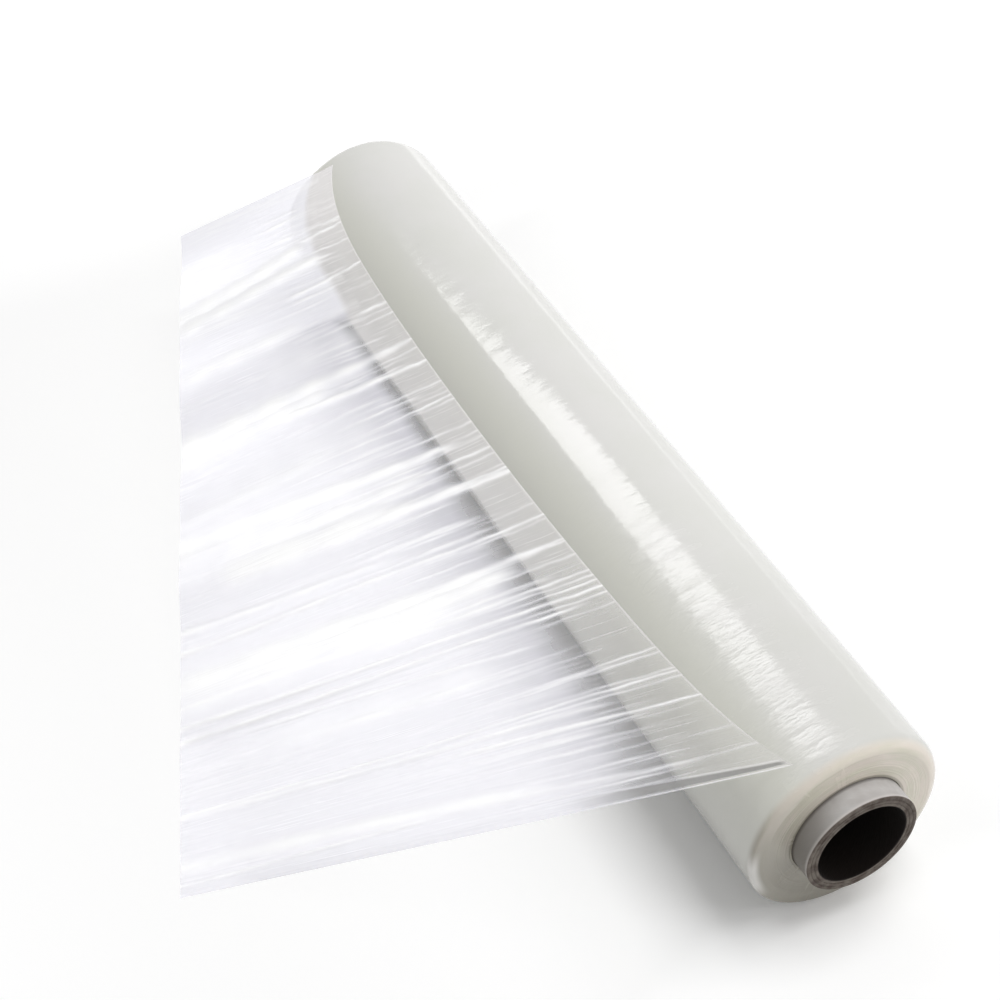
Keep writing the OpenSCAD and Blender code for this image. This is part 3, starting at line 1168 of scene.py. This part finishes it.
def arc(middle: float, radius: float, steps: int, outward: bool) -> Rows:
    """A quarter circle in a rim's outline, as distance from the axis and depth below the rim.

    Args:
        middle: Distance of the arc's centre from the axis.
        radius: Radius of the arc, which touches the rim.
        steps: Number of steps along it.
        outward: Whether it leaves the rim outward, rather than reaching the rim from the bore.

    Returns:
        The arc's rows, from the axis outward.
    """
    rows = []
    for k in range(steps + 1):
        sine, cosine = math.sin(math.radians(90 * k / steps)), math.cos(math.radians(90 * k / steps))
        across, up = (sine, cosine) if outward else (-cosine, sine)
        rows.append((middle + radius * across, radius * (1 - up)))
    return rows


@dataclass(frozen=True)
class CoreTube:
    """The wound paper tube, with its plies showing on the rims."""

    sides: int = 200
    plies: int = 3
    ply_groove: float = 0.00035
    groove_lip: float = 0.00008
    groove_w: float = 0.00022
    ease: float = 0.0004
    ease_steps: int = 4
    bore_depths: Pair = (0.004, 0.001)
    outer_depths: Pair = (0.001, 0.012)

    def rim(self) -> Rows:
        """Outline of one rim, from the bore out.

        Returns:
            Rows of radius and depth below the rim.
        """
        wall = SIZES.core_r - SIZES.bore_r
        groove = ((2, 0.0), (1, self.groove_lip), (1 / 3, self.ply_groove))
        rows = [(SIZES.bore_r, depth) for depth in self.bore_depths]
        rows += arc(SIZES.bore_r + self.ease, self.ease, self.ease_steps, False)
        for n in range(1, self.plies):
            r = SIZES.bore_r + wall * n / self.plies
            rows += [(r - share * self.groove_w, depth) for share, depth in groove]
            rows += [(r + share * self.groove_w, depth) for share, depth in reversed(groove)]
        rows += arc(SIZES.core_r - self.ease, self.ease, self.ease_steps, True)
        return rows + [(SIZES.core_r, depth) for depth in self.outer_depths]

    def build(self, rule: TurnedBody, finish: bpy.types.Material) -> Thing:
        """Builds the piece.

        Args:
            rule: The rule for turned pieces.
            finish: Its material.

        Returns:
            The piece.
        """
        outline = closed(self.rim(), SIZES.core_half, [])
        tube = rule.turn("core_tube", outline, outline, {"Sides": self.sides, "Finish": finish})
        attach(tube, BODY)
        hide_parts(CORE_NODE)
        return tube


@dataclass(frozen=True)
class WoundFilm:
    """The wound turns: one glossy body with the edges of its turns on both ends."""

    sides: int = 240
    rings: int = 22
    ring_lip: float = 0.00006
    ring_shares: tuple[float, float, float] = (0.2, 0.5, 0.8)
    ring_depth_shares: Pair = (0.4, 0.35)
    ring_seed: int = 5
    fade_rings: tuple[int, int] = (6, 5)
    hole_depths: Pair = (0.004, 0.0006)
    row_pitch: float = 0.003
    edge_steps: int = 9
    unevenness: float = 0.00022
    unevenness_seed: float = 4.0
    tight_edge_r: float = 0.0013

    def end(self, edge_r: float) -> Rows:
        """Outline of one end, from the hole out, as radius and depth below the end.

        Args:
            edge_r: Radius of the rounding round the end.

        Returns:
            The outline's rows.
        """
        face_r = SIZES.roll_r - SIZES.edge_r
        rows = [(SIZES.hole_r, depth) for depth in self.hole_depths]
        pitch = (face_r - SIZES.hole_r) / self.rings
        least, more = self.ring_depth_shares
        # The rings fade out toward the rounding
        fade_first, fade_run = self.fade_rings
        for n in range(self.rings):
            fade = 1 - float(ease((n + fade_first - self.rings) / fade_run))
            depth = SIZES.ring_depth * (least + more * float(scatter(n + self.ring_seed))) * fade
            lips = (depth + self.ring_lip, depth, depth + self.ring_lip)
            rows += [(SIZES.hole_r + pitch * (n + share), lip) for share, lip in zip(self.ring_shares, lips)]
        return rows + arc(SIZES.roll_r - edge_r, edge_r, self.edge_steps, True)

    def outline(self, edge_r: float) -> np.ndarray:
        """Closed outline of the turns' cross-section through the axis.

        Args:
            edge_r: Radius of the rounding round both ends.

        Returns:
            Rows of radius and place along the axis.
        """
        span = SIZES.web_half - SIZES.edge_r
        count = round(2 * span / self.row_pitch)
        middle = [(SIZES.roll_r, -span + 2 * span * n / count) for n in range(1, count)]
        return closed(self.end(edge_r), SIZES.web_half, middle)

    def build(self, rule: TurnedBody, finish: bpy.types.Material) -> Thing:
        """Builds the piece.

        Args:
            rule: The rule for turned pieces.
            finish: Its material.

        Returns:
            The piece.
        """
        values = {
            "Sides": self.sides,
            "Table Height": SIZES.table_z,
            "Unevenness": self.unevenness,
            "Tightness": 1.0,
            "Seed": self.unevenness_seed,
            "Finish": finish,
        }
        soft, tight = self.outline(SIZES.edge_r), self.outline(self.tight_edge_r)
        body = rule.turn("wound_film", soft, tight, values)
        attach(body, BODY)
        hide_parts(FILM_NODE)
        return body


@dataclass(frozen=True)
class DrawnFilm:
    """The length of film drawn out to one side, with its pleats and its hem."""

    path: FilmPath = FilmPath()
    pleat_rule: PleatRule = PleatRule()
    threads: Threads = Threads()
    hem: Hem = Hem()
    zones: FilmZones = FilmZones()
    columns: int = 1100
    rows: int = 90
    row_crowding: float = 1.5
    peel_white: float = 0.42
    peel_line: float = 0.0055
    peel_line_from: Step = Step(0.02, 0.07)
    lift: Step = Step(0.0, 0.05)
    upward: float = 1.5

    def pleat_fields(self, u: np.ndarray, s: np.ndarray) -> tuple[np.ndarray, np.ndarray]:
        """How white the film is, and how high it stands, for its pleats.

        Args:
            u: Shares across the film.
            s: Shares along the film.

        Returns:
            Whiteness from 0 to 1, and height in metres.
        """
        web = 2 * (SIZES.web_half - self.path.inset)
        white = np.zeros_like(u)
        height = np.zeros_like(u)
        for pleat in (*PLEATS, *self.threads.strew()):
            whiter, higher = self.pleat_rule.crest(pleat, u, s, web)
            white = 1 - (1 - white) * (1 - whiter)
            height = np.maximum(height, higher)
        return white, height

    def sheet_faces(self) -> list[tuple[int, ...]]:
        """The grid's faces, with the upper side outward.

        Returns:
            Tuples of point numbers.
        """
        faces = []
        for column in range(self.columns - 1):
            for row in range(self.rows - 1):
                a = column * self.rows + row
                faces.append((a, a + self.rows, a + self.rows + 1, a + 1))
        return faces

    def build(self, finish: bpy.types.Material) -> Thing:
        """Builds the piece.

        Args:
            finish: Its material.

        Returns:
            The piece.
        """
        u = np.linspace(0, 1, self.columns)[:, None]
        s = (np.linspace(0, 1, self.rows) ** self.row_crowding)[None, :]
        u, s = np.broadcast_arrays(u, s)
        white, height = self.pleat_fields(u, s)
        lines, wedge = self.hem.field(u, s)
        # A thin white line along the peel: partly the film's lip, partly a painted highlight
        peel = self.peel_white * ridge(s, self.peel_line) * self.peel_line_from.at(u)
        over, out = self.zones.fields(u, s)
        places = self.path.point(u, s)
        # The sheet is the middle of the solid model's film, except at the peel, where it meets the turns
        raised = height * self.path.crease_share(places[..., 2]) - self.path.sheet_t / 2
        places[..., 2] += raised * self.lift.at(s)
        sheet = put_mesh("film_sheet", places.reshape(-1, 3), self.sheet_faces())
        mesh = sheet.data
        index = np.zeros(len(mesh.loops), np.int32)
        mesh.loops.foreach_get("vertex_index", index)
        shares = np.stack([u.reshape(-1)[index], s.reshape(-1)[index]], 1)
        mesh.uv_layers.new(name="film_uv").data.foreach_set("uv", shares.ravel().astype(np.float32))
        whitest = np.maximum(white, np.maximum(lines, peel))
        # The hem attribute carries the wedge's painted shade
        for name, field in (("pleat", whitest), ("hem", wedge), ("over", over), ("out", out)):
            attribute = mesh.attributes.new(name, "FLOAT", "POINT")
            attribute.data.foreach_set("value", field.reshape(-1).astype(np.float32))
        self.even_normals(mesh)
        mesh.materials.append(finish)
        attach(sheet, BODY)
        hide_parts(FILM_NODE)
        return sheet

    def even_normals(self, mesh: bpy.types.Mesh) -> None:
        """Turns the shading normals toward up, as thin film passes light on and hardly darkens on a slope.

        Args:
            mesh: The film's mesh.
        """
        normals = np.zeros(len(mesh.vertices) * 3, np.float32)
        mesh.vertices.foreach_get("normal", normals)
        normals = normals.reshape(-1, 3) + np.array([0.0, 0.0, self.upward])
        normals /= np.linalg.norm(normals, axis=1, keepdims=True)
        mesh.normals_split_custom_set_from_vertices(normals.tolist())


@dataclass(frozen=True)
class Lamp:
    """One soft square lamp over the table, which doesn't show in reflections."""

    name: str
    place: tuple[float, float, float]
    side: float
    watts: float

    def build(self) -> Thing:
        """Builds the lamp, aimed at the middle of the roll.

        Returns:
            The lamp.
        """
        data = bpy.data.lights.new(self.name, "AREA")
        data.shape = "RECTANGLE"
        data.size = data.size_y = self.side
        data.energy = self.watts
        lamp = bpy.data.objects.new(self.name, data)
        bpy.context.scene.collection.objects.link(lamp)
        lamp.location = self.place
        lamp.rotation_euler = (-Vector(self.place)).to_track_quat("-Z", "Y").to_euler()
        lamp.visible_camera = False
        lamp.visible_glossy = False
        return lamp


@dataclass(frozen=True)
class LightPanel:
    """A wide soft panel overhead, whose mirror image is the band of light along the roll.

    The corners are places over the table, seen from above: the near edge, the right one and the
    slanted and bowed far one. The strength grows from nothing at the near edge.
    """

    corners: tuple[Pair, ...] = (
        *((-0.834, 1.06), (0.765, 1.06)),
        *((0.718, 1.289), (0.765, 1.543), (0.813, 1.8), (0.861, 2.011)),
        *((0.813, 2.097), (0.49, 2.22), (0.098, 2.369), (-0.203, 2.472), (-0.555, 2.626), (-0.834, 2.768)),
    )
    height: float = 2.4
    strength: Step = Step(1.06, 1.29, 0.0, 6.1)

    def build(self) -> Thing:
        """Builds the panel, facing down.

        Returns:
            The panel.
        """
        points = np.array([(x, y, self.height) for x, y in self.corners])
        panel = put_mesh("light_panel", points, [tuple(reversed(range(len(points))))])
        material, w, shader = start_material("panel_white")
        _, y, _ = w.split(w.place())
        light = w.step(y, self.strength)
        w.give(shader, Base_Color=(0, 0, 0, 1), Emission_Color=(1, 1, 1, 1), Emission_Strength=light)
        panel.data.materials.append(material)
        panel.visible_camera = False
        panel.visible_diffuse = False
        panel.visible_shadow = False
        return panel


@dataclass(frozen=True)
class Studio:
    """The table, the lamps, the surround and the camera.

    The surround's step gives its light for rays off the roll and for rays that look at it. The
    glows add up to the table's own light, by the distance from the roll in metres.
    """

    camera_place: tuple[float, float, float] = (-0.32128, -0.58166, 0.58902)
    heading: float = 26.395
    pitch: float = 42.587
    lens: float = 71.505
    sensor: float = 36.0
    clip: Pair = (0.01, 60.0)
    lamps: tuple[Lamp, ...] = (
        Lamp("key_lamp", (0.75, -0.15, 2.4), 1.5, 34.0),
        Lamp("front_lamp", (1.1, -1.5, 1.9), 1.0, 7.5),
    )
    surround: Step = Step(0.0, 1.0, 0.38, 1.0)
    floor_half: float = 9.0
    floor_colour: Colour = (0.96, 0.96, 0.96)
    floor_roughness: float = 0.9
    floor_gloss: float = 0.1
    glows: tuple[Step, ...] = (
        Step(0.04, 0.14, 0.05, 0.14),
        Step(0.2, 0.36, 0.0, 0.05),
        Step(0.3, 2.0, 0.0, 0.6),
    )
    shadow_end: float = 0.2
    end_pace: float = 3.0

    def build(self) -> None:
        """Builds the whole studio."""
        self.build_camera()
        self.build_world()
        self.build_floor()
        LightPanel().build()
        for lamp in self.lamps:
            lamp.build()

    def build_camera(self) -> None:
        """Sets the camera at the photo's angle."""
        data = bpy.data.cameras.new("camera")
        data.sensor_width = self.sensor
        data.lens = self.lens
        data.clip_start, data.clip_end = self.clip
        camera = bpy.data.objects.new("camera", data)
        bpy.context.scene.collection.objects.link(camera)
        camera.location = self.camera_place
        camera.rotation_euler = Euler((math.radians(90 - self.pitch), 0.0, math.radians(-self.heading)))
        bpy.context.scene.camera = camera

    def seen_directly(self, w: TreeWriter) -> Output:
        """Picks the rays that look at the surround or the table, or mirror them.

        Args:
            w: The material's writer.

        Returns:
            A socket that holds 1 for these rays and 0 for others.
        """
        path = w.add("ShaderNodeLightPath").outputs
        seen = w.math("MAXIMUM", path["Is Camera Ray"], path["Is Glossy Ray"])
        return w.math("MAXIMUM", seen, path["Is Transmission Ray"])

    def build_world(self) -> None:
        """Sets the even surround, which lights the roll dimly and looks white."""
        world = bpy.data.worlds.new("surround")
        world.use_nodes = True
        bpy.context.scene.world = world
        w = TreeWriter(world.node_tree)
        background = next(n for n in world.node_tree.nodes if n.type == "BACKGROUND")
        w.give(background, Color=(1, 1, 1, 1), Strength=w.step(self.seen_directly(w), self.surround))

    def build_floor(self) -> None:
        """Builds the table top, which keeps the object's shadow."""
        signs = ((-1, -1), (1, -1), (1, 1), (-1, 1))
        points = np.array([(x * self.floor_half, y * self.floor_half, SIZES.table_z) for x, y in signs])
        floor = put_mesh("table_top", points, [(0, 1, 2, 3)])
        material, w, shader = start_material("table_white")
        w.give(shader, Base_Color=self.floor_colour, Roughness=self.floor_roughness)
        w.give(shader, Specular_IOR_Level=self.floor_gloss, Emission_Color=(1, 1, 1, 1))
        # The table's glow is weak close to the roll, deepening its shadow there as painted shade, and fades
        # to plain white away from the roll, sooner past the roll's ends
        x, y, _ = w.split(w.place())
        past_end = w.product(w.math("SUBTRACT", w.math("ABSOLUTE", y), self.shadow_end), self.end_pace)
        reach = w.math("MAXIMUM", w.math("ABSOLUTE", x), past_end)
        glow = w.total(*(w.step(reach, step) for step in self.glows))
        w.give(shader, Emission_Strength=w.product(self.seen_directly(w), glow))
        floor.data.materials.append(material)


def main() -> None:
    """Builds the pieces in order and reports each one."""
    logging.basicConfig(level=logging.INFO, format="%(message)s")
    bpy.context.scene.view_settings.view_transform = "Standard"
    Studio().build()
    effects = Effects()
    rule = TurnedBody()
    pieces = [
        CoreTube().build(rule, CorePaper().build(effects)),
        WoundFilm().build(rule, WoundFilmFinish().build(effects)),
        DrawnFilm().build(DrawnFilmFinish().build(effects)),
    ]
    for piece in pieces:
        LOG.info("%s: %d faces", piece.name, len(piece.data.polygons))


if __name__ == "__main__":
    main()
